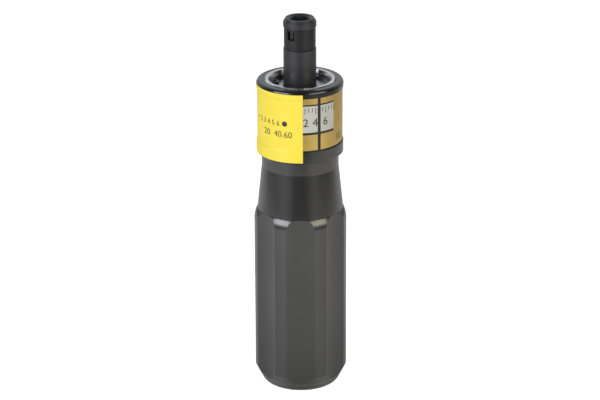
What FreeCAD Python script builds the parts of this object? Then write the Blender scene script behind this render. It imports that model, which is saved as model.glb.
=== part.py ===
import FreeCAD, Part
import math
import os

# Preset torque screwdriver, standing on the end of its handle with the bit socket up.
# Millimetres. +Z runs up the tool's axis, and the origin is the centre of the handle's foot.
# -Y is the front of the tool. Azimuths are in degrees from the front, positive towards +X.

# --- Handle: one bar of aluminium, turned to the blank's outline, with hollow flutes milled along it ---
FLUTES = 7
BLANK_R = 17.1              # turned radius of the lands between flutes
FLUTE_FLOOR_R = 15.7        # axis to the bottom of a flute
FLUTE_CUTTER_R = 24.0       # hollow of the flute
LAND_EDGE_ROUND = 0.3
FOOT_LAND_R = 12.85         # flat ring that the tool stands on
FOOT_R = 14.9               # where the rounded foot ends
FOOT_H = 2.4
FOOT_BULGE = 0.37           # rise of the foot's arc over its chord
FOOT_EDGE_R = 15.55         # sharp edge between the foot and the lower chamfer
FOOT_EDGE_H = 1.0
CHAMFER_H = 3.2             # lower chamfer, from that edge out to the lands
GRIP_LENGTH = 65.8          # foot to the start of the crowned shoulder
SHOULDER_LENGTH = 3.6       # crowned shoulder, up to the cone
SHOULDER_BULGE = 0.22       # rise of the crown's arc over its chord
SHOULDER_DROP = 1.1         # fall in radius over the shoulder
CONE_STEP = 0.15            # cone's base stands this much over the bottoms of the flutes
CONE_LENGTH = 16.7
NECK_R = 14.15
NECK_LENGTH = 5.3           # plain band between the cone and the head

# --- Head sleeve: pressed over the handle's spigot ---
HEAD_D = 31.75
HEAD_LENGTH = 27.5
HEAD_EDGE_CHAMFER = 0.2
HEAD_TOP_ROUND = 1.1
LOWER_LAND = 4.5            # plain band under the label
LABEL_WIDTH = 20.3
LABEL_RECESS = 0.525
SPIGOT_R = 13.6
SLEEVE_CLEARANCE = 0.03
TOP_WALL = 2.4              # thickness of the sleeve's top lip

# --- Printed label and calibration sticker ---
LABEL_T = 0.2
LABEL_SEAM_DEG = 4.0        # open seam of the label, at the back
STICKER_T = 0.12
STICKER_FROM_DEG = -126.0
STICKER_TO_DEG = 3.5
STICKER_ABOVE_EDGE = 0.25   # lower edge of the sticker over the head's lower edge
STICKER_UNDER_ROUND = 0.05  # upper edge of the sticker under the rounding of the rim
STICKER_RAMP = 0.8          # height over which it steps from the label out on to the sleeve

# --- Clutch housing: steel tube with a knurled flange, pressed in from the nose ---
HOUSING_R = 12.4
HOUSING_BORE_R = 11.2
HOUSING_LENGTH = 28.0       # below the flange
HOUSING_END_GAP = 0.3
KNURL_R = 13.0
KNURL_DEPTH = 0.45
KNURL_TEETH = 78
KNURL_CLEARANCE = 0.05
FLANGE_PROUD = 0.22         # flange stands this much over the sleeve
MOUTH_R = 11.6
MOUTH_CHAMFER_H = 0.8

# --- Circlip, cover washer and nose bush ---
CIRCLIP_T = 1.0
CIRCLIP_DEPTH = 2.02        # flange's face to the circlip's face
GROOVE_DEPTH = 0.55
GROOVE_SLACK = 0.1
CIRCLIP_HOLE_R = 10.2
CIRCLIP_OFFSET = 0.4        # shift of its inner circle towards the gap
CIRCLIP_LUG_R = 1.75
CIRCLIP_LUG_AT_R = 9.7
CIRCLIP_LUG_DEG = 16.0
CIRCLIP_EYE_R = 0.8
CIRCLIP_GAP = 2.6
CIRCLIP_AZ = -90.0
COVER_T = 1.0
SEAT_CLEARANCE = 0.05       # radial, for the pieces held in the housing's bore
COVER_SHAFT_GAP = 0.3
BUSH_LENGTH = 6.0
RUNNING_CLEARANCE = 0.05    # radial, for every turning or sliding fit

# --- Plain thrust bearing over the spindle's flange ---
HARD_WASHER_T = 1.5
BRONZE_WASHER_T = 1.5
BRONZE_WASHER_R = 10.8
WASHER_SHAFT_GAP = 0.3
FACE_PLAY = 0.02            # between flat faces that turn on each other

# --- Spindle: bit socket, journal, detent flange and pilot ---
SHAFT_R = 6.0
SPINDLE_REACH = 22.98       # tip over the housing's face
NOSE_R = 6.05
NOSE_LENGTH = 3.3
NOSE_CHAMFER_H = 1.4
NOSE_FACE_R = 5.2
NOSE_EDGE_CHAMFER = 0.15
SHAFT_EDGE_CHAMFER = 0.25
CLIP_GROOVE_R = 5.35
CLIP_GROOVE_LENGTH = 7.9
HEX_AF = 6.45               # takes a 1/4 inch bit
HEX_DEPTH = 12.0
HEX_LEAD_R = 4.35
HEX_LEAD_H = 0.7
HEX_DRILL_DEPTH = 1.4       # drill point under the hexagon
FLANGE_R = 10.8
FLANGE_T = 4.5
PILOT_R = 3.5
PILOT_LENGTH = 8.5

# --- Bit retaining clip ---
CLIP_T = 0.44
CLIP_UPPER_PLAY = 0.12
CLIP_LOWER_PLAY = 0.3
CLIP_WINDOW_AZ = -34.5
CLIP_TONGUE_AZ = -30.2
CLIP_WINDOW_W = 2.85
CLIP_TONGUE_W = 1.35
CLIP_WINDOW_UNDER_EDGE = 0.45   # top of the window under the clip's upper edge
CLIP_WINDOW_H = 3.5
CLIP_FOOT_H = 0.7           # open foot of the window, under the tongue
CLIP_TIP_H = 0.9            # tongue's tip, turned in towards the socket
CLIP_TIP_REACH = 0.9
CLIP_SPLIT_AZ = -84.0
CLIP_SPLIT_W = 1.5
CLIP_SPLIT_STEP = 1.7       # sideways step of the split half way up

# --- Slipping clutch ---
CLUTCH_BALL_D = 4.0
CLUTCH_BALLS = 6
DETENTS = 12
CLUTCH_PITCH_R = 8.0
DETENT_OFFSET = 0.9         # ball centre under the flange's face
DETENT_CLEARANCE = 0.05
POCKET_CLEARANCE = 0.02
PLATE_GAP = 1.2
PLATE_T = 5.0
PLATE_LUGS = 3
LUG_W = 4.0
LUG_SIDE_CLEARANCE = 0.05
LUG_END_CLEARANCE = 0.1
PLATE_SPIGOT_R = 5.5
PLATE_SPIGOT_H = 2.5

# --- Main spring ---
WIRE_D = 3.6
SPRING_MEAN_R = 7.5
SPRING_LENGTH = 46.0
SPRING_TURNS = 8.5
SPRING_END_GAP = 0.01

# --- Adjuster in the handle's lower end ---
CHAMBER_R = 10.0            # spring chamber
FLOOR_T = 12.0              # wall between the foot and the chamber
KEYWAY_W = 3.1
KEYWAY_R = 11.6
KEY_W = 3.0
KEY_LENGTH = 6.5
KEY_INNER_R = 7.4
KEY_END_CLEARANCE = 0.1
NUT_H = 8.0
NUT_CLEARANCE = 0.1
NUT_SPIGOT_R = 5.5
NUT_SPIGOT_H = 2.5
SCREW_R = 4.0
SCREW_ABOVE_NUT = 9.0
COLLAR_R = 7.5
COLLAR_T = 3.0
JOURNAL_R = 5.0
SCREW_END_H = 5.0           # screw's lower end over the foot
SCREW_HEX_AF = 4.0
SCREW_HEX_DEPTH = 5.0
THRUST_R = 8.5
THRUST_T = 1.0
PLUG_R = 6.5
PLUG_RECESS = 2.0
PLUG_INSET = 0.4
PLUG_SKIRT_H = 2.0
PLUG_SKIRT_T = 0.9
PLUG_CLEARANCE = 0.02

# --- Levels that follow from the sizes above ---
Z_EDGE = FOOT_H + FOOT_EDGE_H
Z_SHOULDER = GRIP_LENGTH
Z_CONE = Z_SHOULDER + SHOULDER_LENGTH
Z_NECK = Z_CONE + CONE_LENGTH
Z_HEAD = Z_NECK + NECK_LENGTH
Z_HEAD_TOP = Z_HEAD + HEAD_LENGTH
Z_SPIGOT = Z_HEAD_TOP - TOP_WALL
Z_LABEL = Z_HEAD + LOWER_LAND
Z_FACE = Z_HEAD_TOP + FLANGE_PROUD
Z_HOUSING = Z_SPIGOT - HOUSING_LENGTH
Z_CIRCLIP = Z_FACE - CIRCLIP_DEPTH - CIRCLIP_T
Z_COVER = Z_CIRCLIP - COVER_T
Z_BUSH = Z_COVER - BUSH_LENGTH
Z_HARD_WASHER = Z_BUSH - HARD_WASHER_T
Z_BRONZE_WASHER = Z_HARD_WASHER - BRONZE_WASHER_T
Z_FLANGE_TOP = Z_BRONZE_WASHER - FACE_PLAY
Z_FLANGE = Z_FLANGE_TOP - FLANGE_T
Z_CLUTCH_BALL = Z_FLANGE - DETENT_OFFSET
Z_PLATE_TOP = Z_FLANGE - PLATE_GAP
Z_PLATE = Z_PLATE_TOP - PLATE_T
Z_TIP = Z_FACE + SPINDLE_REACH
Z_NOSE = Z_TIP - NOSE_LENGTH
Z_CLIP_GROOVE = Z_NOSE - CLIP_GROOVE_LENGTH
Z_SPRING_TOP = Z_PLATE - SPRING_END_GAP
Z_SPRING = Z_SPRING_TOP - SPRING_LENGTH
Z_NUT = Z_SPRING - SPRING_END_GAP - NUT_H
Z_COLLAR_SEAT = FLOOR_T + THRUST_T + FACE_PLAY
Z_LABEL_TOP = Z_LABEL + LABEL_WIDTH
Z_CLIP = Z_CLIP_GROOVE + CLIP_LOWER_PLAY
Z_CLIP_TOP = Z_NOSE - CLIP_UPPER_PLAY
Z_WINDOW_TOP = Z_CLIP_TOP - CLIP_WINDOW_UNDER_EDGE
Z_WINDOW = Z_WINDOW_TOP - CLIP_WINDOW_H
CONE_BASE_R = FLUTE_FLOOR_R + CONE_STEP
HEAD_R = HEAD_D / 2
SLEEVE_BORE_R = SPIGOT_R + SLEEVE_CLEARANCE
RECESS_R = HEAD_R - LABEL_RECESS
JOURNAL_BORE_R = JOURNAL_R + RUNNING_CLEARANCE
CLIP_R = CLIP_GROOVE_R + CLIP_T

AXIS = FreeCAD.Vector(0, 0, 1)
ORIGIN = FreeCAD.Vector(0, 0, 0)


def at(radius, azimuth, z):
    """Point at a radius and azimuth from the front, at a height."""
    turn = math.radians(azimuth)
    return FreeCAD.Vector(radius * math.sin(turn), -radius * math.cos(turn), z)


def tube(outer_r, inner_r, z0, z1):
    """Plain ring or, with inner_r of 0, a plain cylinder."""
    ring = Part.makeCylinder(outer_r, z1 - z0, FreeCAD.Vector(0, 0, z0))
    if inner_r > 0:
        ring = ring.cut(Part.makeCylinder(inner_r, z1 - z0, FreeCAD.Vector(0, 0, z0)))
    return ring


def section_point(point):
    return FreeCAD.Vector(point[0], 0, point[1])


def bulged_arc(start, end, rise):
    """Arc between two (radius, z) points that stands out from its chord by rise."""
    run = end[0] - start[0], end[1] - start[1]
    length = math.hypot(*run)
    middle = (start[0] + run[0] / 2 + rise * run[1] / length, start[1] + run[1] / 2 - rise * run[0] / length)
    return Part.Arc(*(section_point(p) for p in (start, middle, end))).toShape()


def turned(edges, from_azimuth=None, degrees=360.0):
    """Solid of revolution about the axis. edges holds (radius, z) points, and arcs between them."""
    wire_edges = []
    last = None
    first = None
    for item in edges:
        if isinstance(item, tuple):
            point = section_point(item)
            if last is not None and last.distanceToPoint(point) > 1e-6:
                wire_edges.append(Part.makeLine(last, point))
            first = first or point
            last = point
        else:
            wire_edges.append(item)
            last = item.Vertexes[-1].Point
    if last.distanceToPoint(first) > 1e-6:
        wire_edges.append(Part.makeLine(last, first))
    face = Part.Face(Part.Wire(wire_edges))
    if from_azimuth is not None:
        face.rotate(ORIGIN, AXIS, from_azimuth - 90.0)
    return face.revolve(ORIGIN, AXIS, degrees)


def hexagon(across_flats, z0, z1):
    """Hexagonal prism on the axis, with corners towards +X and -X."""
    corner_r = across_flats / math.sqrt(3)
    corners = [at(corner_r, 90.0 + 60.0 * i, z0) for i in range(6)]
    return Part.Face(Part.makePolygon(corners + corners[:1])).extrude(FreeCAD.Vector(0, 0, z1 - z0))


def radial_box(width, r0, r1, z0, z1, azimuth):
    """Box that points out from the axis at an azimuth."""
    box = Part.makeBox(width, r1 - r0, z1 - z0, FreeCAD.Vector(-width / 2, -r1, z0))
    box.rotate(ORIGIN, AXIS, azimuth)
    return box


def around(count, make):
    """make(azimuth) at equal steps round the axis."""
    return [make(360.0 * i / count) for i in range(count)]


def disc(radius, centre):
    return Part.Face(Part.Wire(Part.makeCircle(radius, centre)))


def fluted_section():
    """Face across the grip: a round bar with hollow flutes, the first at the front, and lands between."""
    cutter_at = FLUTE_FLOOR_R + FLUTE_CUTTER_R
    cutters = around(FLUTES, lambda a: disc(FLUTE_CUTTER_R, at(cutter_at, a, 0)))
    section = disc(BLANK_R, ORIGIN).cut(cutters).Faces[0]
    return section.makeOffset2D(-LAND_EDGE_ROUND, join=2).makeOffset2D(LAND_EDGE_ROUND, join=0)


def handle():
    grip = fluted_section().extrude(FreeCAD.Vector(0, 0, Z_CONE))
    outside_r = BLANK_R * 1.05
    chamfer_slope = CHAMFER_H / (BLANK_R - FOOT_EDGE_R)
    round_the_foot = turned([
        (FOOT_LAND_R, 0), bulged_arc((FOOT_LAND_R, 0), (FOOT_R, FOOT_H), FOOT_BULGE), (FOOT_EDGE_R, Z_EDGE),
        (outside_r, Z_EDGE + (outside_r - FOOT_EDGE_R) * chamfer_slope), (outside_r, 0),
    ])
    shoulder_top = (BLANK_R - SHOULDER_DROP, Z_CONE)
    round_the_shoulder = turned([
        (BLANK_R, Z_SHOULDER), bulged_arc((BLANK_R, Z_SHOULDER), shoulder_top, SHOULDER_BULGE),
        (outside_r, Z_CONE), (outside_r, Z_SHOULDER),
    ])
    body = grip.cut([round_the_foot, round_the_shoulder])
    upper = turned([
        (0, Z_CONE), (CONE_BASE_R, Z_CONE), (NECK_R, Z_NECK), (NECK_R, Z_HEAD), (SPIGOT_R, Z_HEAD),
        (SPIGOT_R, Z_SPIGOT), (0, Z_SPIGOT),
    ])
    chamber_top = Z_HOUSING - HOUSING_END_GAP
    bore = turned([
        (0, 0), (PLUG_R, 0), (PLUG_R, PLUG_RECESS), (JOURNAL_BORE_R, PLUG_RECESS), (JOURNAL_BORE_R, FLOOR_T),
        (CHAMBER_R, FLOOR_T), (CHAMBER_R, chamber_top), (HOUSING_R, chamber_top), (HOUSING_R, Z_SPIGOT),
        (0, Z_SPIGOT),
    ])
    keyways = around(2, lambda a: radial_box(KEYWAY_W, 0, KEYWAY_R, FLOOR_T, chamber_top, a + 90.0))
    return body.fuse(upper).removeSplitter().cut([bore] + keyways)


def head_sleeve():
    flange_hole_r = KNURL_R + KNURL_CLEARANCE
    sleeve = turned([
        (SLEEVE_BORE_R, Z_HEAD), (HEAD_R - HEAD_EDGE_CHAMFER, Z_HEAD), (HEAD_R, Z_HEAD + HEAD_EDGE_CHAMFER),
        (HEAD_R, Z_LABEL), (RECESS_R, Z_LABEL), (RECESS_R, Z_LABEL_TOP), (HEAD_R, Z_LABEL_TOP),
        (HEAD_R, Z_HEAD_TOP), (flange_hole_r, Z_HEAD_TOP), (flange_hole_r, Z_SPIGOT),
        (SLEEVE_BORE_R, Z_SPIGOT),
    ])
    rim = [e for e in sleeve.Edges
           if abs(e.BoundBox.ZMin - Z_HEAD_TOP) < 0.01 and abs(e.BoundBox.XMax - HEAD_R) < 0.01]
    return sleeve.makeFillet(HEAD_TOP_ROUND, rim)


def label_band():
    outer_r = RECESS_R + LABEL_T
    return turned([
        (RECESS_R, Z_LABEL), (outer_r, Z_LABEL), (outer_r, Z_LABEL_TOP), (RECESS_R, Z_LABEL_TOP),
    ], 180.0 + LABEL_SEAM_DEG / 2, 360.0 - LABEL_SEAM_DEG)


def calibration_sticker():
    """Covers the head from its lower land to its rim, and dips into the label's recess between them."""
    z0 = Z_HEAD + HEAD_EDGE_CHAMFER + STICKER_ABOVE_EDGE
    z1 = Z_HEAD_TOP - HEAD_TOP_ROUND - STICKER_UNDER_ROUND
    on_label = RECESS_R + LABEL_T
    inside = [
        (HEAD_R, z0), (HEAD_R, Z_LABEL), (on_label, Z_LABEL + STICKER_RAMP),
        (on_label, Z_LABEL_TOP - STICKER_RAMP), (HEAD_R, Z_LABEL_TOP), (HEAD_R, z1),
    ]
    outside = [(r + STICKER_T, z) for r, z in reversed(inside)]
    return turned(inside + outside, STICKER_FROM_DEG, STICKER_TO_DEG - STICKER_FROM_DEG)


def knurled_disc(z0, z1):
    """Disc whose rim has a straight knurl of V teeth."""
    step = 360.0 / KNURL_TEETH
    points = []
    for i in range(KNURL_TEETH):
        points.append(at(KNURL_R, step * i, z0))
        points.append(at(KNURL_R - KNURL_DEPTH, step * (i + 0.5), z0))
    return Part.Face(Part.makePolygon(points + points[:1])).extrude(FreeCAD.Vector(0, 0, z1 - z0))


def clutch_housing():
    groove_z = Z_CIRCLIP - GROOVE_SLACK
    groove_top = Z_CIRCLIP + CIRCLIP_T
    groove_r = HOUSING_BORE_R + GROOVE_DEPTH
    bore = turned([
        (0, Z_HOUSING), (HOUSING_BORE_R, Z_HOUSING), (HOUSING_BORE_R, groove_z), (groove_r, groove_z),
        (groove_r, groove_top), (HOUSING_BORE_R, groove_top), (HOUSING_BORE_R, Z_FACE - MOUTH_CHAMFER_H),
        (MOUTH_R, Z_FACE), (0, Z_FACE),
    ])
    slot_w = LUG_W + 2 * LUG_SIDE_CLEARANCE
    slot_top = Z_PLATE_TOP + LUG_END_CLEARANCE
    slots = around(PLATE_LUGS, lambda a: radial_box(slot_w, 0, KNURL_R, Z_HOUSING, slot_top, a))
    shell = tube(HOUSING_R, 0, Z_HOUSING, Z_SPIGOT).fuse(knurled_disc(Z_SPIGOT, Z_FACE))
    return shell.cut([bore] + slots)


def circlip():
    z1 = Z_CIRCLIP + CIRCLIP_T
    shift = at(CIRCLIP_OFFSET, CIRCLIP_AZ, Z_CIRCLIP)
    outer_r = HOUSING_BORE_R + GROOVE_DEPTH - SEAT_CLEARANCE
    disc = tube(outer_r, 0, Z_CIRCLIP, z1)
    ring = disc.cut(Part.makeCylinder(CIRCLIP_HOLE_R, CIRCLIP_T, shift))
    lug_centres = [at(CIRCLIP_LUG_AT_R, CIRCLIP_AZ + side * CIRCLIP_LUG_DEG, Z_CIRCLIP) for side in (-1, 1)]
    lugs = [Part.makeCylinder(CIRCLIP_LUG_R, CIRCLIP_T, c) for c in lug_centres]
    eyes = [Part.makeCylinder(CIRCLIP_EYE_R, CIRCLIP_T, c) for c in lug_centres]
    gap = radial_box(CIRCLIP_GAP, 0, HOUSING_R, Z_CIRCLIP, z1, CIRCLIP_AZ)
    return ring.fuse(lugs).common(disc).cut([gap] + eyes).removeSplitter()


def cover_washer():
    return tube(HOUSING_BORE_R - SEAT_CLEARANCE, SHAFT_R + COVER_SHAFT_GAP, Z_COVER, Z_CIRCLIP)


def nose_bush():
    return tube(HOUSING_BORE_R - SEAT_CLEARANCE, SHAFT_R + RUNNING_CLEARANCE, Z_BUSH, Z_COVER)


def hard_washer():
    return tube(HOUSING_BORE_R - SEAT_CLEARANCE, SHAFT_R + WASHER_SHAFT_GAP, Z_HARD_WASHER, Z_BUSH)


def bronze_washer():
    return tube(BRONZE_WASHER_R, SHAFT_R + WASHER_SHAFT_GAP, Z_BRONZE_WASHER, Z_HARD_WASHER)


def balls(diameter, count, pitch_r, z):
    return around(count, lambda a: Part.makeSphere(diameter / 2, at(pitch_r, a, z)))


def spindle():
    body = turned([
        (0, Z_FLANGE - PILOT_LENGTH), (PILOT_R, Z_FLANGE - PILOT_LENGTH), (PILOT_R, Z_FLANGE),
        (FLANGE_R, Z_FLANGE), (FLANGE_R, Z_FLANGE_TOP), (SHAFT_R, Z_FLANGE_TOP),
        (SHAFT_R, Z_CLIP_GROOVE - SHAFT_EDGE_CHAMFER), (SHAFT_R - SHAFT_EDGE_CHAMFER, Z_CLIP_GROOVE),
        (CLIP_GROOVE_R, Z_CLIP_GROOVE), (CLIP_GROOVE_R, Z_NOSE), (NOSE_R - NOSE_EDGE_CHAMFER, Z_NOSE),
        (NOSE_R, Z_NOSE + NOSE_EDGE_CHAMFER),
        (NOSE_R, Z_TIP - NOSE_CHAMFER_H), (NOSE_FACE_R, Z_TIP), (0, Z_TIP),
    ])
    detents = balls(CLUTCH_BALL_D + 2 * DETENT_CLEARANCE, DETENTS, CLUTCH_PITCH_R, Z_CLUTCH_BALL)
    z_hex = Z_TIP - HEX_DEPTH
    drill = turned([(0, z_hex - HEX_DRILL_DEPTH), (HEX_AF / 2, z_hex), (0, z_hex)])
    lead = turned([
        (0, Z_TIP - HEX_LEAD_H), (HEX_AF / 2, Z_TIP - HEX_LEAD_H), (HEX_LEAD_R, Z_TIP), (0, Z_TIP),
    ])
    window = radial_box(CLIP_WINDOW_W, 0, NOSE_R, Z_WINDOW, Z_WINDOW_TOP, CLIP_WINDOW_AZ)
    return body.cut(detents + [hexagon(HEX_AF, z_hex, Z_TIP), drill, lead, window])


def bit_clip():
    """Spring band in the spindle's groove, with a tongue in a window whose tip turns in to hold a bit."""
    z_middle = (Z_CLIP + Z_CLIP_TOP) / 2
    z_tip = Z_WINDOW + CLIP_FOOT_H
    band = tube(CLIP_R, CLIP_GROOVE_R, Z_CLIP, Z_CLIP_TOP)
    window = radial_box(CLIP_WINDOW_W, 0, SHAFT_R, Z_WINDOW, Z_WINDOW_TOP, CLIP_WINDOW_AZ)
    tongue = radial_box(CLIP_TONGUE_W, 0, SHAFT_R, z_tip, Z_WINDOW_TOP, CLIP_TONGUE_AZ).common(band)
    tip = radial_box(CLIP_TONGUE_W, CLIP_GROOVE_R - CLIP_TIP_REACH, CLIP_R - CLIP_T / 2, z_tip,
                     z_tip + CLIP_TIP_H, CLIP_TONGUE_AZ)
    step_az = math.degrees(CLIP_SPLIT_STEP / CLIP_R)
    split_low = radial_box(CLIP_SPLIT_W, 0, SHAFT_R, Z_CLIP, z_middle, CLIP_SPLIT_AZ)
    split_high = radial_box(CLIP_SPLIT_W, 0, SHAFT_R, z_middle, Z_CLIP_TOP, CLIP_SPLIT_AZ - step_az)
    return band.cut([window, split_low, split_high]).fuse([tongue, tip]).removeSplitter()


def clutch_balls():
    return Part.makeCompound(balls(CLUTCH_BALL_D, CLUTCH_BALLS, CLUTCH_PITCH_R, Z_CLUTCH_BALL))


def pressure_plate():
    disc = tube(HOUSING_BORE_R - RUNNING_CLEARANCE, 0, Z_PLATE, Z_PLATE_TOP)
    spigot = tube(PLATE_SPIGOT_R, 0, Z_PLATE - PLATE_SPIGOT_H, Z_PLATE)
    reach = tube(HOUSING_R - LUG_END_CLEARANCE, 0, Z_PLATE, Z_PLATE_TOP)
    lugs = around(PLATE_LUGS, lambda a: radial_box(
        LUG_W, 0, HOUSING_R, Z_PLATE, Z_PLATE_TOP, a).common(reach))
    pockets = balls(CLUTCH_BALL_D + 2 * POCKET_CLEARANCE, CLUTCH_BALLS, CLUTCH_PITCH_R, Z_CLUTCH_BALL)
    bore = tube(PILOT_R + RUNNING_CLEARANCE, 0, Z_PLATE - PLATE_SPIGOT_H, Z_PLATE_TOP)
    return disc.fuse(lugs + [spigot]).removeSplitter().cut(pockets + [bore])


def main_spring():
    """Coil spring with ends ground flat: a longer coil, trimmed square at both seats."""
    pitch = SPRING_LENGTH / SPRING_TURNS
    spare = WIRE_D / 2
    path = Part.makeHelix(pitch, SPRING_LENGTH + 2 * spare, SPRING_MEAN_R)
    start = FreeCAD.Vector(SPRING_MEAN_R, 0, 0)
    climb = FreeCAD.Vector(0, SPRING_MEAN_R, pitch / (2 * math.pi))
    wire = Part.Wire(Part.makeCircle(WIRE_D / 2, start, climb))
    coil = Part.Wire(path.Edges).makePipeShell([wire], True, True)
    coil.translate(FreeCAD.Vector(0, 0, Z_SPRING - spare))
    return coil.common(tube(CHAMBER_R, 0, Z_SPRING, Z_SPRING_TOP))


def adjusting_nut():
    z1 = Z_NUT + NUT_H
    body = tube(CHAMBER_R - NUT_CLEARANCE, 0, Z_NUT, z1).fuse(tube(NUT_SPIGOT_R, 0, z1, z1 + NUT_SPIGOT_H))
    bore = tube(SCREW_R + RUNNING_CLEARANCE, 0, Z_NUT, z1 + NUT_SPIGOT_H)
    slots = around(2, lambda a: radial_box(
        KEY_W, KEY_INNER_R, CHAMBER_R, Z_NUT, Z_NUT + KEY_LENGTH, a + 90.0))
    return body.cut([bore] + slots)


def nut_keys():
    reach = KEYWAY_R - KEY_END_CLEARANCE
    return Part.makeCompound(around(2, lambda a: radial_box(
        KEY_W, KEY_INNER_R, reach, Z_NUT, Z_NUT + KEY_LENGTH, a + 90.0)))


def adjusting_screw():
    z_top = Z_NUT + NUT_H + SCREW_ABOVE_NUT
    body = turned([
        (0, SCREW_END_H), (JOURNAL_R, SCREW_END_H), (JOURNAL_R, Z_COLLAR_SEAT), (COLLAR_R, Z_COLLAR_SEAT),
        (COLLAR_R, Z_COLLAR_SEAT + COLLAR_T), (SCREW_R, Z_COLLAR_SEAT + COLLAR_T), (SCREW_R, z_top),
        (0, z_top),
    ])
    return body.cut(hexagon(SCREW_HEX_AF, SCREW_END_H, SCREW_END_H + SCREW_HEX_DEPTH))


def thrust_washer():
    return tube(THRUST_R, JOURNAL_BORE_R, FLOOR_T, FLOOR_T + THRUST_T)


def end_plug():
    skirt_r = JOURNAL_BORE_R - PLUG_CLEARANCE
    return turned([
        (0, PLUG_INSET), (PLUG_R - PLUG_CLEARANCE, PLUG_INSET), (PLUG_R - PLUG_CLEARANCE, PLUG_RECESS),
        (skirt_r, PLUG_RECESS), (skirt_r, PLUG_RECESS + PLUG_SKIRT_H),
        (skirt_r - PLUG_SKIRT_T, PLUG_RECESS + PLUG_SKIRT_H), (skirt_r - PLUG_SKIRT_T, PLUG_RECESS),
        (0, PLUG_RECESS),
    ])


PIECES = (
    handle, head_sleeve, label_band, calibration_sticker, clutch_housing, circlip, cover_washer, nose_bush,
    hard_washer, bronze_washer, spindle, bit_clip, clutch_balls, pressure_plate, main_spring,
    adjusting_nut, nut_keys, adjusting_screw, thrust_washer, end_plug,
)

os.makedirs("parts", exist_ok=True)
for piece in PIECES:
    piece().exportStep("parts/" + piece.__name__ + ".step")
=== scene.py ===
# %% [markdown]
# # A preset torque screwdriver
# The tool's pieces come from its engineering model, at their real size and place.
# Here they get their finishes: black anodised aluminium, blackened and bright steel, a printed foil
# label and a yellow vinyl sticker. The few thin pieces that a machinist doesn't make are modelled here.

import math

import bmesh
import bpy
from mathutils import Matrix, Vector


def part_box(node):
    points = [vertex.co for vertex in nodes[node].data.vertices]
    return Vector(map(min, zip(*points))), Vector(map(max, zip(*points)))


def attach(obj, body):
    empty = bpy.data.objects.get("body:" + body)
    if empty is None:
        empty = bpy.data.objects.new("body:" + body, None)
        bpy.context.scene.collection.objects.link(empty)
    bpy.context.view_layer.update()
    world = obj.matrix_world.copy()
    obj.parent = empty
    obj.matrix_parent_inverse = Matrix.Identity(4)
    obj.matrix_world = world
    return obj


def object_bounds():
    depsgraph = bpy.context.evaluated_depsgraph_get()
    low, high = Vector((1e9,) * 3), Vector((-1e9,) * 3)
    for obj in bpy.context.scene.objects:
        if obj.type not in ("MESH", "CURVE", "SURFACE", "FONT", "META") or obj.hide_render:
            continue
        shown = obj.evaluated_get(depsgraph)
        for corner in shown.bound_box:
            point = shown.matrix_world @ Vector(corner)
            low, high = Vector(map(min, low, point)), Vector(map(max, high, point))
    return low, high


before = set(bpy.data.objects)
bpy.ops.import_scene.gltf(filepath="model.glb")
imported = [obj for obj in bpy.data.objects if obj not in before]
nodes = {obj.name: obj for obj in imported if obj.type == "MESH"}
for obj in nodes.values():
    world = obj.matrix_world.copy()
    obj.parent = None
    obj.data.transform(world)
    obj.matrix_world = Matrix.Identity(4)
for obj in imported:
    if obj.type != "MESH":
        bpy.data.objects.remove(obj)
cad_low, cad_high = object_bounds()
MM = 0.001
print("pieces from the model:", len(nodes), "height in mm:", round((cad_high.z - cad_low.z) / MM, 1))

# %% [markdown]
# ## Colours and shader nodes
# Colours are chosen as sRGB hex values, the way a colour picker shows them, but shaders work with
# linear light. One function turns the first into the second. A second one adds a shader node,
# sets its values and plugs in what feeds it, so that each finish reads from top to bottom.

# %% Two helpers for every finish
def linear(hex_code, alpha=1.0):
    """sRGB hex, such as 'ffcc00', as linear red, green, blue and alpha."""
    channels = [int(hex_code[i:i + 2], 16) / 255 for i in (0, 2, 4)]
    return [c / 12.92 if c <= 0.04045 else ((c + 0.055) / 1.055) ** 2.4 for c in channels] + [alpha]


def add(tree, kind, values=(), links=()):
    """A new shader node. A key of values is a property or an input of the node, by name or number."""
    node = tree.nodes.new("ShaderNode" + kind)
    for key, value in dict(values).items():
        if isinstance(key, str) and hasattr(node, key):
            setattr(node, key, value)
        else:
            node.inputs[key].default_value = value
    for key, source in dict(links).items():
        tree.links.new(source, node.inputs[key])
    return node


# %% [markdown]
# ## The camera
# The tool stands in a light tent and is looked down on from the front, with a long lens from about
# a metre away. A long lens keeps the sides of the grip nearly parallel, yet the foot still shows
# more of its roundness than the head does, because the camera looks down on it more steeply.

# %% Camera
CAMERA_PLACE = Vector((0.0, -932.3, 433.1)) * MM
CAMERA_TARGET = Vector((-0.13, 0.0, 71.5)) * MM
CAMERA_LENS = 162.3
CAMERA_ROLL = math.radians(0.2)

camera_data = bpy.data.cameras.new("camera")
camera_data.lens = CAMERA_LENS
camera_data.sensor_width = 36.0
camera_data.clip_start = 0.05
camera = bpy.data.objects.new("camera", camera_data)
bpy.context.scene.collection.objects.link(camera)
camera.location = CAMERA_PLACE
aim = (CAMERA_TARGET - CAMERA_PLACE).to_track_quat("-Z", "Y").to_matrix()
camera.rotation_euler = (aim @ Matrix.Rotation(-CAMERA_ROLL, 3, "Z")).to_euler()
bpy.context.scene.camera = camera
bpy.context.scene.view_settings.view_transform = "Standard"
print("camera distance in mm:", round((CAMERA_TARGET - CAMERA_PLACE).length / MM))

# %% [markdown]
# ## The light tent
# The tool stands on a sweep of white paper that runs up behind it, with two softboxes in front, low
# at the left and right. Its black finish has little colour of its own, so what it shows is mostly
# reflection: the upright faces mirror the paper close by, the crowned shoulder mirrors the
# softboxes, and whatever leans back mirrors the dark room in front of the paper.
#
# The brightness that reflections find on the paper isn't worked out from the lamps. It is painted light,
# put into the paper's colour where reflections see it: a short table of distances and brightnesses, tried
# until the tool's greys looked right, which paints the paper darker near the foot, brighter in a ring
# further out and dark far away, and a painted stripe of light along each lamp's way. So it belongs to
# this stage and not to the finishes. The camera sees the same paper as plain white.

# %% Floor
PAPER_REACH = 6000 * MM
LIGHT_REACH = 500 * MM       # the table of light runs from the axis to here
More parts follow.
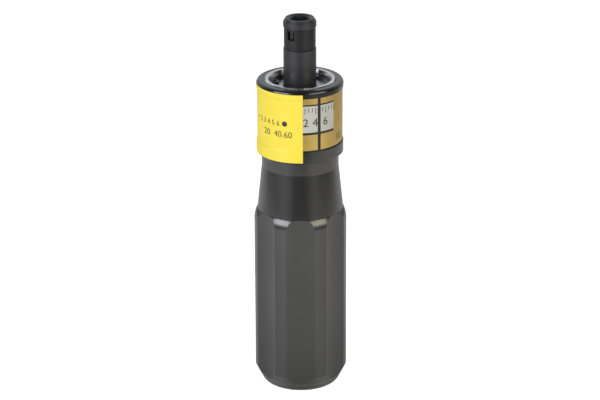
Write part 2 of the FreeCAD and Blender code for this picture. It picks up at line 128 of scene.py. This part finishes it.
# Distance from the axis in mm, and how bright a reflection finds the paper there. Set one by one.
LIGHT_ON_PAPER = ((0, 0.92), (35, 0.98), (60, 1.2), (130, 1.2), (180, 1.6),
                  (205, 1.6), (235, 0.75), (280, 0.2), (360, 0.14), (500, 0.14))
RAMP_SCALE = 2.0             # a colour ramp holds up to 1, so it holds the table divided by this
SIDE_SQUEEZE = 0.72          # the paper is wider than it is deep
PAINTED_LAMP_PATH = 0.30       # painted light: brightness painted into the paper along each lamp's way
LAMP_PATH_MIDDLE = 0.62      # where the way lies: 0 is the middle of the front, 1 is straight to the side
LAMP_PATH_HALF = 0.40        # half of its width, in the same measure
SHEET_GLOW = 0.8             # lifts the paper to white where the camera looks at it

floor_mesh = bmesh.new()
bmesh.ops.create_grid(floor_mesh, x_segments=1, y_segments=1, size=PAPER_REACH / 2)
floor_data = bpy.data.meshes.new("paper_floor")
floor_mesh.to_mesh(floor_data)
floor_mesh.free()
floor = bpy.data.objects.new("paper_floor", floor_data)
bpy.context.scene.collection.objects.link(floor)


def paper():
    """White paper: plain white to the camera, and in reflections a diffuse sheet coloured with the painted
    light of LIGHT_ON_PAPER and of the lamps' ways.
    """
    material = bpy.data.materials.new("white_paper")
    material.use_nodes = True
    tree = material.node_tree
    tree.nodes.clear()
    place = add(tree, "TexCoord").outputs["Object"]
    in_front = add(tree, "VectorMath", {"operation": "MINIMUM", 1: (10.0, 0.0, 0.0)},
                   {0: place}).outputs["Vector"]
    squeezed = add(tree, "VectorMath", {"operation": "MULTIPLY", 1: (SIDE_SQUEEZE, 1.0, 0.0)},
                   {0: in_front}).outputs["Vector"]
    distance = add(tree, "VectorMath", {"operation": "LENGTH"}, {0: squeezed}).outputs["Value"]
    reach = add(tree, "Math", {"operation": "DIVIDE", 1: LIGHT_REACH}, {0: distance}).outputs[0]
    table = add(tree, "ValToRGB", {}, {"Fac": reach})
    stops = table.color_ramp.elements
    for i, (at, brightness) in enumerate(LIGHT_ON_PAPER):
        stop = stops[i] if i < 2 else stops.new(1.0)
        stop.position = at * MM / LIGHT_REACH
        stop.color = [brightness / RAMP_SCALE] * 3 + [1.0]
    ways = add(tree, "VectorMath", {"operation": "NORMALIZE"}, {0: in_front})
    aside = add(tree, "SeparateXYZ", {}, {"Vector": ways.outputs["Vector"]}).outputs["X"]
    off_way = add(tree, "Math", {"operation": "ABSOLUTE"}, {0: aside}).outputs[0]
    from_lamp = add(tree, "Math", {"operation": "SUBTRACT", 1: LAMP_PATH_MIDDLE}, {0: off_way}).outputs[0]
    how_far = add(tree, "Math", {"operation": "ABSOLUTE"}, {0: from_lamp}).outputs[0]
    path = add(tree, "MapRange",
               {"From Max": LAMP_PATH_HALF, "To Min": PAINTED_LAMP_PATH / RAMP_SCALE, "To Max": 0.0,
                "interpolation_type": "SMOOTHSTEP"}, {"Value": how_far}).outputs["Result"]
    both = add(tree, "Math", {"operation": "ADD"}, {0: table.outputs["Color"], 1: path}).outputs[0]
    light = add(tree, "Math", {"operation": "MULTIPLY", 1: RAMP_SCALE}, {0: both}).outputs[0]
    sheet = add(tree, "BsdfDiffuse", {"Color": linear("efefef")})
    glow = add(tree, "Emission", {"Color": linear("ffffff"), "Strength": SHEET_GLOW})
    seen = add(tree, "AddShader", {}, {0: sheet.outputs[0], 1: glow.outputs[0]})
    mirrored = add(tree, "BsdfDiffuse", {}, {"Color": light})
    ray = add(tree, "LightPath")
    lit = add(tree, "MixShader", {},
              {0: ray.outputs["Is Glossy Ray"], 1: sheet.outputs[0], 2: mirrored.outputs[0]})
    whole = add(tree, "MixShader", {},
                {0: ray.outputs["Is Camera Ray"], 1: lit.outputs[0], 2: seen.outputs[0]})
    add(tree, "OutputMaterial", {}, {"Surface": whole.outputs[0]})
    return material


floor_data.materials.append(paper())

# %% World
WALL_LIGHT = 0.30
world = bpy.data.worlds.new("tent")
bpy.context.scene.world = world
world.use_nodes = True
tent = world.node_tree
tent.nodes.clear()
tent_ray = add(tent, "LightPath")
towards = add(tent, "SeparateXYZ", {}, {"Vector": add(tent, "TexCoord").outputs["Generated"]})
backdrop = add(tent, "MapRange", {"From Min": 0.0, "From Max": 0.75, "To Min": 0.03, "To Max": 0.8,
                                  "interpolation_type": "SMOOTHSTEP"},
               {"Value": towards.outputs["Y"]})
tent_walls = add(tent, "Background", {"Color": linear("f6f7fb"), "Strength": WALL_LIGHT})
tent_mirrored = add(tent, "Background", {"Color": linear("f2f4ff")},
                    {"Strength": backdrop.outputs["Result"]})
tent_white = add(tent, "Background", {"Color": linear("ffffff"), "Strength": 1.0})
tent_lit = add(tent, "MixShader", {}, {0: tent_ray.outputs["Is Glossy Ray"], 1: tent_walls.outputs[0],
                                       2: tent_mirrored.outputs[0]})
tent_mix = add(tent, "MixShader", {}, {0: tent_ray.outputs["Is Camera Ray"], 1: tent_lit.outputs[0],
                                       2: tent_white.outputs[0]})
add(tent, "OutputWorld", {}, {"Surface": tent_mix.outputs[0]})


# %% Lamps
def softbox(name, azimuth, elevation, distance, width, height, brightness, tint):
    """Rectangular lamp facing the tool's middle. Its brightness is a radiance, where paper has 1."""
    data = bpy.data.lights.new(name, "AREA")
    data.shape = "RECTANGLE"
    data.size = width
    data.size_y = height
    data.energy = brightness * math.pi * width * height
    data.color = linear(tint)[:3]
    lamp = bpy.data.objects.new(name, data)
    bpy.context.scene.collection.objects.link(lamp)
    turn, rise = math.radians(azimuth), math.radians(elevation)
    direction = Vector((math.sin(turn) * math.cos(rise), -math.cos(turn) * math.cos(rise), math.sin(rise)))
    lamp.location = Vector((0, 0, (cad_low.z + cad_high.z) / 2)) + direction * distance
    lamp.rotation_euler = direction.to_track_quat("Z", "Y").to_euler()
    print(name, "at azimuth", azimuth, "elevation", elevation)


softbox("front_left_lamp", -49, 19, 0.90, 0.68, 0.42, 7.2, "f9f9ff")
softbox("front_right_lamp", 47, 19, 0.90, 0.68, 0.42, 4.8, "fffbe6")

# %% [markdown]
# ## Metals
# The handle is anodised: an electric bath grows a clear, hard oxide on the aluminium, and black dye
# fills it. What the eye gets is a dark colour under a glassy skin, so the finish isn't metallic in
# the shader: it is a dark base with a plain reflection, and its IOR is that of the oxide. The marks
# of the cutters are still there under it, as fine lines that draw the reflection out. On turned
# faces they are rings, and along the milled flutes they run lengthwise, so each finish says which.
# Real marks are about 0.1 mm apart. Here they are drawn a few times coarser, because finer ones
# would only flicker at the size the tool is seen.

# %% Machined finishes
EDGE_RADIUS = 0.12 * MM      # the tiny rounding that every machined edge has
RINGS = (0.02, 0.02, 1.0)    # noise squeezed into rings round the axis
LENGTHS = (1.0, 1.0, 0.02)   # noise drawn out along the axis


def tool_marks(tree, place, direction, spacing_mm):
    """Fine noise drawn out along the way that the cutter went."""
    drawn = add(tree, "Mapping", {"vector_type": "POINT", "Scale": direction}, {"Vector": place})
    return add(tree, "TexNoise", {"Scale": 1 / (spacing_mm * MM), "Detail": 2.0},
               {"Vector": drawn.outputs["Vector"]})


def machined(name, hex_code, metallic, roughness, spacing_mm, depth_mm, turned_above=None, ior=1.5,
             spread=0.02):
    """Metal finish. The marks are rings, or lengthwise below turned_above, a height in metres."""
    material = bpy.data.materials.new(name)
    material.use_nodes = True
    tree = material.node_tree
    shader = tree.nodes["Principled BSDF"]
    shader.inputs["Base Color"].default_value = linear(hex_code)
    shader.inputs["Metallic"].default_value = metallic
    shader.inputs["IOR"].default_value = ior
    place = add(tree, "TexCoord").outputs["Object"]
    marks = tool_marks(tree, place, RINGS, spacing_mm).outputs["Fac"]
    if turned_above is not None:
        height = add(tree, "SeparateXYZ", {}, {"Vector": place}).outputs["Z"]
        turned = add(tree, "Math", {"operation": "GREATER_THAN", 1: turned_above}, {0: height})
        milled = tool_marks(tree, place, LENGTHS, spacing_mm).outputs["Fac"]
        marks = add(tree, "Mix", {}, {0: turned.outputs[0], 2: milled, 3: marks})
        marks = marks.outputs[0]
    handling = add(tree, "TexNoise", {"Scale": 1 / (9 * MM), "Detail": 3.0}, {"Vector": place})
    rough = add(tree, "MapRange",
                {"From Min": 0.35, "From Max": 0.65,
                 "To Min": roughness - spread, "To Max": roughness + spread},
                {"Value": handling.outputs["Fac"]})
    tree.links.new(rough.outputs["Result"], shader.inputs["Roughness"])
    soft_edge = add(tree, "Bevel", {"samples": 6, "Radius": EDGE_RADIUS})
    bump = add(tree, "Bump", {"Strength": 1.0, "Distance": depth_mm * MM},
               {"Height": marks, "Normal": soft_edge.outputs["Normal"]})
    tree.links.new(bump.outputs["Normal"], shader.inputs["Normal"])
    return material


def dress(material, *names):
    """Puts a finish on whole pieces of the model."""
    for name in names:
        for slot in nodes[name].material_slots:
            slot.material = material
    print(material.name, "on", ", ".join(names))


# %% Black finishes
GRIP_TOP = 69.4 * MM         # the flutes end here and the turned cone begins
dress(machined("black_anodised_aluminium", "1c1c1c", 0.0, 0.24, 0.45, 0.0004, GRIP_TOP, ior=1.72), "handle")
dress(machined("gloss_black_aluminium", "18181a", 0.0, 0.18, 0.45, 0.0004, ior=1.66), "head_sleeve")
dress(machined("blackened_steel", "212226", 0.0, 0.42, 0.40, 0.0006, ior=1.62), "spindle", "adjusting_screw")
dress(machined("dark_spring_steel", "17181a", 0.0, 0.36, 0.60, 0.0006, ior=1.5), "bit_clip")

# %% Bright finishes
dress(machined("bright_turned_steel", "cfcec9", 1.0, 0.26, 0.40, 0.0008), "clutch_housing", "adjusting_nut")
dress(machined("phosphated_circlip_steel", "5a5a5e", 0.8, 0.34, 0.50, 0.001), "circlip")
dress(machined("ground_washer_steel", "d2d2dc", 1.0, 0.30, 0.35, 0.0006), "cover_washer", "hard_washer")
dress(machined("sintered_bronze", "9a6f3c", 1.0, 0.42, 0.50, 0.002), "nose_bush", "bronze_washer",
      "thrust_washer")
dress(machined("hardened_steel", "9b9b9d", 1.0, 0.28, 0.40, 0.0008), "pressure_plate", "nut_keys")
dress(machined("polished_ball_steel", "c8c8ca", 1.0, 0.07, 0.50, 0.0, spread=0.01), "clutch_balls")
dress(machined("oiled_spring_wire", "4f4a45", 1.0, 0.38, 0.60, 0.002), "main_spring")

# %% [markdown]
# ## The end plug
# The plug in the foot is moulded in polyethylene. A moulded part has no tool marks, only the fine,
# even grain of the spark-eroded mould.

# %% Moulded plastic
def moulded(name, hex_code, roughness, grain_mm):
    """Plastic with a fine even grain."""
    material = bpy.data.materials.new(name)
    material.use_nodes = True
    tree = material.node_tree
    shader = tree.nodes["Principled BSDF"]
    shader.inputs["Base Color"].default_value = linear(hex_code)
    shader.inputs["Roughness"].default_value = roughness
    shader.inputs["IOR"].default_value = 1.5
    place = add(tree, "TexCoord").outputs["Object"]
    grain = add(tree, "TexNoise", {"Scale": 1 / (grain_mm * MM), "Detail": 3.0}, {"Vector": place})
    bump = add(tree, "Bump", {"Strength": 0.6, "Distance": 0.01 * MM}, {"Height": grain.outputs["Fac"]})
    tree.links.new(bump.outputs["Normal"], shader.inputs["Normal"])
    return material


dress(moulded("polyethylene", "17171a", 0.5, 0.3), "end_plug")

# %% [markdown]
# ## The printed label
# The label is a foil band in the head's recess: gold and off-white fields between black lines. The
# fields are bands of height and of angle round the axis, so the shader works both out from the
# Object coordinates, and two colour ramps with hard steps lay down the fields. The ramp's alpha says where
# bare foil shows, which is what makes the gold metallic and leaves the ink matt.

# %% Label fields
label_low, label_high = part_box("label_band")
LABEL_RADIUS = label_high.x
GOLD = "cdb068"
INK = "161514"
PANEL = "b4b4ae"

# (height above the label's lower edge in mm, colour, bare foil or not)
BANDS = ((0.0, INK, 0.0), (0.45, GOLD, 1.0), (6.45, INK, 0.0), (7.3, PANEL, 0.0), (17.4, INK, 0.0),
         (18.0, GOLD, 1.0))
BAR_AZIMUTH = 26.3
BAR_WIDTH = 1.15 * MM
PANEL_END_AZIMUTH = 51.0


def band_ramp(tree, height, bands):
    """Colour ramp with hard steps at the heights of the bands."""
    ramp = add(tree, "ValToRGB", {}, {"Fac": height})
    ramp.color_ramp.interpolation = "CONSTANT"
    label_width = (label_high.z - label_low.z) / MM
    while len(ramp.color_ramp.elements) < len(bands):
        ramp.color_ramp.elements.new(1.0)
    while len(ramp.color_ramp.elements) > len(bands):
        ramp.color_ramp.elements.remove(ramp.color_ramp.elements[-1])
    for step, (start, hex_code, foil) in zip(ramp.color_ramp.elements, bands):
        step.position = start / label_width
        step.color = linear(hex_code, foil)
    return ramp.outputs["Color"], ramp.outputs["Alpha"]


def printed_over(tree, mask, under, over):
    """Colour and foil of two prints: the second where the mask is 1."""
    colours = add(tree, "Mix", {"data_type": "RGBA"}, {0: mask, 6: under[0], 7: over[0]})
    foil = add(tree, "Mix", {}, {0: mask, 2: under[1], 3: over[1]})
    return colours.outputs[2], foil.outputs[0]


def label_print():
    """Printed foil: the bands, cut off by plain gold past the panel, with the upright bar over them."""
    material = bpy.data.materials.new("printed_foil_label")
    material.use_nodes = True
    tree = material.node_tree
    shader = tree.nodes["Principled BSDF"]
    place = add(tree, "TexCoord").outputs["Object"]
    axes = add(tree, "SeparateXYZ", {}, {"Vector": place})
    height = add(tree, "MapRange", {"From Min": label_low.z, "From Max": label_high.z},
                 {"Value": axes.outputs["Z"]})
    front = add(tree, "Math", {"operation": "MULTIPLY", 1: -1.0}, {0: axes.outputs["Y"]})
    turn = add(tree, "Math", {"operation": "ARCTAN2"},
               {0: axes.outputs["X"], 1: front.outputs[0]}).outputs[0]
    fields = band_ramp(tree, height.outputs["Result"], BANDS)
    gold = band_ramp(tree, height.outputs["Result"], BANDS[:2])
    black = band_ramp(tree, height.outputs["Result"], BANDS[:1])
    panel_end = math.radians(PANEL_END_AZIMUTH)
    past_panel = add(tree, "Math", {"operation": "GREATER_THAN", 1: panel_end}, {0: turn})
    fields = printed_over(tree, past_panel.outputs[0], fields, gold)
    bar_half = BAR_WIDTH / 2 / LABEL_RADIUS
    bar = add(tree, "Math", {"operation": "COMPARE", 1: math.radians(BAR_AZIMUTH), 2: bar_half}, {0: turn})
    fields = printed_over(tree, bar.outputs[0], fields, black)
    tree.links.new(fields[0], shader.inputs["Base Color"])
    tree.links.new(fields[1], shader.inputs["Metallic"])
    scuffs = add(tree, "TexNoise", {"Scale": 1 / (2.5 * MM), "Detail": 4.0}, {"Vector": place})
    rough = add(tree, "MapRange", {"From Min": 0.3, "From Max": 0.7, "To Min": 0.36, "To Max": 0.46},
                {"Value": scuffs.outputs["Fac"]})
    tree.links.new(rough.outputs["Result"], shader.inputs["Roughness"])
    bump = add(tree, "Bump", {"Strength": 0.4, "Distance": 0.004 * MM}, {"Height": scuffs.outputs["Fac"]})
    tree.links.new(bump.outputs["Normal"], shader.inputs["Normal"])
    return material


dress(label_print(), "label_band")

# %% [markdown]
# ## The calibration sticker
# Yellow vinyl, pressed down by hand over the label. It is nearly matt, and its yellow drifts very
# slightly from place to place, with low waves where the film hasn't gone down quite flat.

# %% Yellow vinyl
def vinyl(name, hex_code):
    """Soft yellow film, nearly matt, that drifts a little in tone."""
    material = bpy.data.materials.new(name)
    material.use_nodes = True
    tree = material.node_tree
    shader = tree.nodes["Principled BSDF"]
    shader.inputs["Roughness"].default_value = 0.50
    shader.inputs["IOR"].default_value = 1.5
    place = add(tree, "TexCoord").outputs["Object"]
    wave = add(tree, "TexNoise", {"Scale": 1 / (9 * MM), "Detail": 2.0}, {"Vector": place})
    tone = add(tree, "Mix", {"data_type": "RGBA", 6: linear(hex_code), 7: linear("ead64a")},
               {0: wave.outputs["Fac"]})
    tree.links.new(tone.outputs[2], shader.inputs["Base Color"])
    bump = add(tree, "Bump", {"Strength": 0.5, "Distance": 0.02 * MM}, {"Height": wave.outputs["Fac"]})
    tree.links.new(bump.outputs["Normal"], shader.inputs["Normal"])
    return material


dress(vinyl("yellow_vinyl", "e4cf38"), "calibration_sticker")

# %% [markdown]
# ## Printed numbers
# Print is ink that lies on the foil or the vinyl, a few hundredths of a millimetre thick. A text
# object gives the digits. It is turned into a mesh while it is still flat, and then its points are
# rolled on to the head: a point's distance along the line becomes an angle round the axis.

# %% Ink pieces
INK_THICKNESS = 0.04 * MM
CAP_SHARE = 0.70             # height of a digit as a share of the font's size


def ink(name, hex_code):
    """Screen printing ink: nearly matt, with the slight mottle of the mesh it was pressed through."""
    material = bpy.data.materials.new(name)
    material.use_nodes = True
    tree = material.node_tree
    shader = tree.nodes["Principled BSDF"]
    shader.inputs["Base Color"].default_value = linear(hex_code)
    shader.inputs["IOR"].default_value = 1.5
    place = add(tree, "TexCoord").outputs["Object"]
    mottle = add(tree, "TexNoise", {"Scale": 1 / (0.4 * MM), "Detail": 2.0}, {"Vector": place})
    rough = add(tree, "MapRange", {"To Min": 0.45, "To Max": 0.65}, {"Value": mottle.outputs["Fac"]})
    tree.links.new(rough.outputs["Result"], shader.inputs["Roughness"])
    return material


def rolled_on(name, mesh, azimuth, height, radius, material):
    """Rolls a flat mesh on to the head, azimuth degrees from the front, and adds it to the tool."""
    for point in mesh.vertices:
        turn = math.radians(azimuth) + point.co.x / radius
        out = radius + INK_THICKNESS / 4 + point.co.z
        point.co = Vector((out * math.sin(turn), -out * math.cos(turn), height + point.co.y))
    mesh.materials.clear()
    mesh.materials.append(material)
    piece = bpy.data.objects.new(name, mesh)
    bpy.context.scene.collection.objects.link(piece)
    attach(piece, "handle_unit")


def digits(name, words, cap_height, azimuth, height, radius, material):
    """A line of digits, centred on its azimuth, with its foot at a height."""
    line = bpy.data.curves.new(name, "FONT")
    line.body = words
    line.size = cap_height / CAP_SHARE
    line.align_x = "CENTER"
    line.extrude = INK_THICKNESS / 2
    line.resolution_u = 4
    flat = bpy.data.objects.new(name + "_flat", line)
    bpy.context.scene.collection.objects.link(flat)
    bpy.context.view_layer.update()
    mesh = bpy.data.meshes.new_from_object(flat.evaluated_get(bpy.context.evaluated_depsgraph_get()))
    bpy.data.objects.remove(flat)
    print(name, "is", round(max(p.co.x for p in mesh.vertices) * 2 / MM, 1), "mm long")
    rolled_on(name, mesh, azimuth, height, radius, material)


def strips(name, places, azimuth, height, radius, material):
    """Upright strips of ink. A place is the middle along the line, the foot, the width and the length."""
    shape = bmesh.new()
    for along, foot, width, length in places:
        block = bmesh.ops.create_cube(shape, size=1.0)["verts"]
        bmesh.ops.scale(shape, vec=(width, length, INK_THICKNESS), verts=block)
        bmesh.ops.translate(shape, vec=(along, foot + length / 2, 0.0), verts=block)
    mesh = bpy.data.meshes.new(name)
    shape.to_mesh(mesh)
    shape.free()
    rolled_on(name, mesh, azimuth, height, radius, material)


# %% Numbers on the sticker
sticker_reach = -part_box("calibration_sticker")[0].x
head_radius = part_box("head_sleeve")[1].x
STICKER_FACE = LABEL_RADIUS + (sticker_reach - head_radius)
DOT_RADIUS = 1.0 * MM
stamp_ink = ink("stamp_ink", "2b2a22")
digits("sticker_line_1", "1 2 3 4 5 6", 1.9 * MM, -50.0, 105.5 * MM, STICKER_FACE, stamp_ink)
digits("sticker_line_2", "20  40.60", 2.3 * MM, -33.0, 101.3 * MM, STICKER_FACE, stamp_ink)

stamp = bmesh.new()
bmesh.ops.create_cone(stamp, cap_ends=True, segments=24, radius1=DOT_RADIUS, radius2=DOT_RADIUS,
                      depth=INK_THICKNESS)
stamp_mesh = bpy.data.meshes.new("sticker_dot")
stamp.to_mesh(stamp_mesh)
stamp.free()
rolled_on("sticker_dot", stamp_mesh, -21.0, 106.5 * MM, STICKER_FACE, stamp_ink)

# %% Scale on the label
label_ink = ink("label_ink", "1b1a19")
SCALE_STEP = 1.35 * MM
MARK_WIDTH = 0.22 * MM
LONG_MARK = (0.0, MARK_WIDTH, 2.4 * MM)          # foot, width and length
SHORT_MARK = (0.8 * MM, MARK_WIDTH, 1.6 * MM)
scale_marks = [(i * SCALE_STEP,) + (LONG_MARK if i % 3 == 0 else SHORT_MARK) for i in range(10)]
strips("label_scale", scale_marks, 6.5, 110.2 * MM, LABEL_RADIUS, label_ink)
for count, (words, azimuth) in enumerate((("2", 7.5), ("4", 20.6), ("6", 36.0)), 1):
    digits(f"label_number_{count}", words, 3.0 * MM, azimuth, 105.6 * MM, LABEL_RADIUS, label_ink)
bronze_ink = ink("bronze_ink", "6d5a2c")
digits("label_number_4", "10", 2.8 * MM, 62.0, 98.1 * MM, LABEL_RADIUS, bronze_ink)
